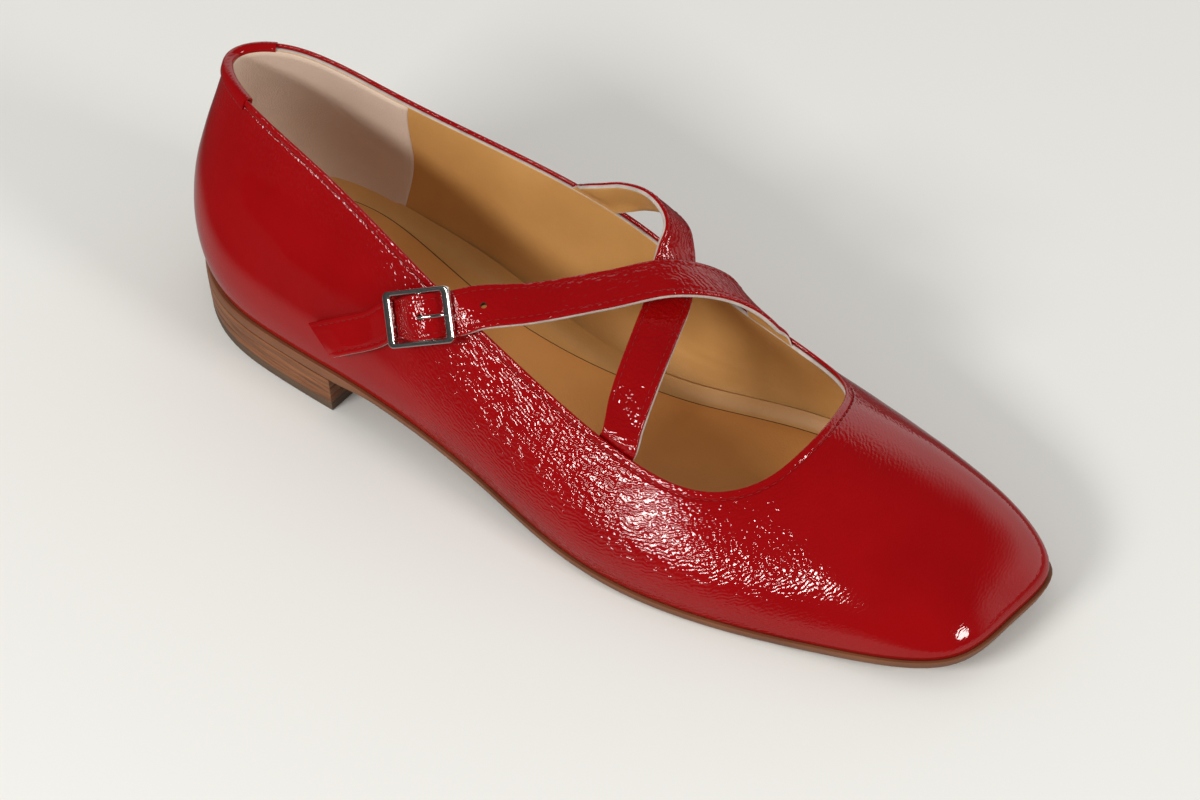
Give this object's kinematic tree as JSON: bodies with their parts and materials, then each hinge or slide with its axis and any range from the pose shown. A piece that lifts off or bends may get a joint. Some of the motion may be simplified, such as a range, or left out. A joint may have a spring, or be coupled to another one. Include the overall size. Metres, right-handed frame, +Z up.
{
  "type": "ballet flat",
  "caption": "Right ballet flat with a square toe, an open topline, instep straps that cross, a small rectangular buckle on the outer side and a low stacked heel.",
  "frame": {"origin": "on the floor, in the middle of the heel's tread", "axes": "+X toward the toe, +Y toward the inner (medial) side, +Z up"},
  "size_m": [0.2551, 0.0808, 0.0729],
  "materials": {
    "patent": "deep red crinkle patent, glossy",
    "lining": "tan lining leather, matt",
    "sole": "reddish brown sole leather, waxed edge",
    "stack": "stacked heel leather with lengthwise grain, semi-gloss",
    "top_piece": "dark brown rubber, matt",
    "steel": "polished"
  },
  "bodies": {
    "root": {"upper": "patent", "outsole": "sole", "insole": "lining", "heel_block": "stack", "heel_top_piece": "top_piece", "cross_strap": "patent", "buckle_strap": "patent", "buckle_frame": "steel", "buckle_prong": "steel", "buckle_tab": "patent"}
  },
  "joints": []
}
